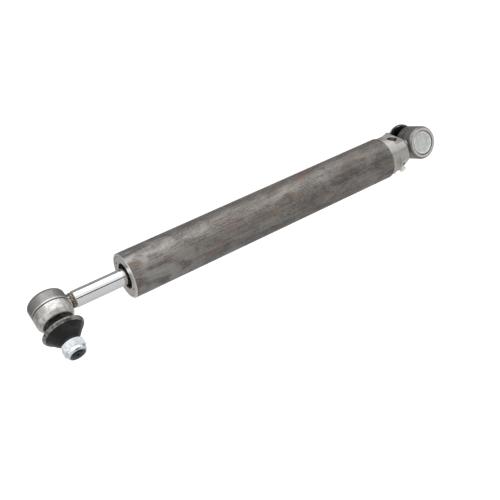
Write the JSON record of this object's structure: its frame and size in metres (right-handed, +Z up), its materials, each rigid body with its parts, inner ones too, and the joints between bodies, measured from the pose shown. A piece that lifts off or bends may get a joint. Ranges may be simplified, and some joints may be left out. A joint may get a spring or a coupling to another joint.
{
  "type": "hydraulic cylinder",
  "caption": "Double-acting steering cylinder with a steel tube, a chromed rod and a sealed ball joint with a tapered stud and lock nut at each end.",
  "frame": {"origin": "centre of the base-end ball, on the cylinder's axis", "axes": "+X along the cylinder from the base-end ball to the rod-end ball, the way the rod extends; -Y the way the base-end stud points; +Z up, with the open oil port 18 degrees from it towards +Y"},
  "size_m": [0.5892, 0.1155, 0.0776],
  "materials": {
    "mill_scale_steel": "dark drawn tube with mill scale and drawing streaks",
    "turned_steel": "satin turned steel",
    "forged_steel": "forged and tumbled steel, brighter where machined",
    "hard_chrome": "polished hard chrome",
    "heated_steel": "weld with brown heat tint",
    "zinc_plate": "bright zinc plate",
    "pale_zinc": "pale zinc plate",
    "spring_steel": "phosphated spring steel",
    "bush_bronze": "sintered bronze",
    "boot_rubber": "matt moulded rubber",
    "seal_rubber": "nitrile rubber",
    "seal_polyurethane": "cast polyurethane",
    "ring_composite": "filled wear ring",
    "shell_polymer": "greased acetal",
    "nut_nylon": "dark blue nylon",
    "cap_polymer": "pale polythene"
  },
  "bodies": {
    "barrel": {"barrel_tube": "mill_scale_steel", "inner_tube": "turned_steel", "end_cap": "turned_steel", "lower_port_plug": "cap_polymer", "cap_tube_o_ring": "seal_rubber", "cap_bore_o_ring": "seal_rubber", "gland": "turned_steel", "gland_tube_o_ring": "seal_rubber", "gland_bore_o_ring": "seal_rubber", "rod_bush": "bush_bronze", "rod_seal": "seal_polyurethane", "rod_wiper": "seal_rubber", "gland_snap_ring": "spring_steel", "base_joint_head": "forged_steel", "base_inner_shell": "shell_polymer", "base_preload_ring": "seal_rubber", "base_closing_plate": "pale_zinc"},
    "piston_rings": {"piston_seal": "seal_polyurethane", "piston_seal_energiser": "seal_rubber", "piston_wear_ring_rear": "ring_composite", "piston_wear_ring_front": "ring_composite"},
    "rod": {"piston_rod": "hard_chrome", "piston": "turned_steel", "piston_nut": "zinc_plate", "piston_bore_o_ring": "seal_rubber", "rod_weld": "heated_steel", "rod_joint_head": "forged_steel", "rod_inner_shell": "shell_polymer", "rod_preload_ring": "seal_rubber", "rod_closing_plate": "pale_zinc"},
    "rod_joint_shell": {"rod_outer_shell": "shell_polymer"},
    "rod_joint_boot": {"rod_boot": "boot_rubber", "rod_boot_ring": "spring_steel"},
    "rod_joint_stud": {"rod_ball_stud": "turned_steel", "rod_lock_nut": "zinc_plate", "rod_nut_nylon_ring": "nut_nylon"},
    "base_joint_shell": {"base_outer_shell": "shell_polymer"},
    "base_joint_boot": {"base_boot": "boot_rubber", "base_boot_ring": "spring_steel"},
    "base_joint_stud": {"base_ball_stud": "turned_steel", "base_lock_nut": "zinc_plate", "base_nut_nylon_ring": "nut_nylon"}
  },
  "joints": [
    {"name": "rod_slide", "type": "slide", "parent": "barrel", "child": "piston_rings", "axis": [1, 0, 0], "range_m": [-0.045, 0.195]},
    {"name": "rod_spin", "type": "hinge", "parent": "piston_rings", "child": "rod", "pos_m": [0.54, 0, 0], "axis": [1, 0, 0], "continuous": true},
    {"name": "rod_joint_swing_along", "type": "hinge", "parent": "rod", "child": "rod_joint_shell", "pos_m": [0.54, 0, 0], "axis": [0, 0.682, 0.7314], "range_deg": [-15, 15]},
    {"name": "rod_joint_swing_across", "type": "hinge", "parent": "rod_joint_shell", "child": "rod_joint_boot", "pos_m": [0.54, 0, 0], "axis": [1, 0, 0], "range_deg": [-15, 15]},
    {"name": "rod_joint_spin", "type": "hinge", "parent": "rod_joint_boot", "child": "rod_joint_stud", "pos_m": [0.54, 0, 0], "axis": [0, 0.7314, -0.682], "continuous": true},
    {"name": "base_joint_swing_along", "type": "hinge", "parent": "barrel", "child": "base_joint_shell", "pos_m": [0, 0, 0], "axis": [0, 0, -1], "range_deg": [-15, 15]},
    {"name": "base_joint_swing_across", "type": "hinge", "parent": "base_joint_shell", "child": "base_joint_boot", "pos_m": [0, 0, 0], "axis": [1, 0, 0], "range_deg": [-15, 15]},
    {"name": "base_joint_spin", "type": "hinge", "parent": "base_joint_boot", "child": "base_joint_stud", "pos_m": [0, 0, 0], "axis": [0, -1, 0], "continuous": true}
  ]
}
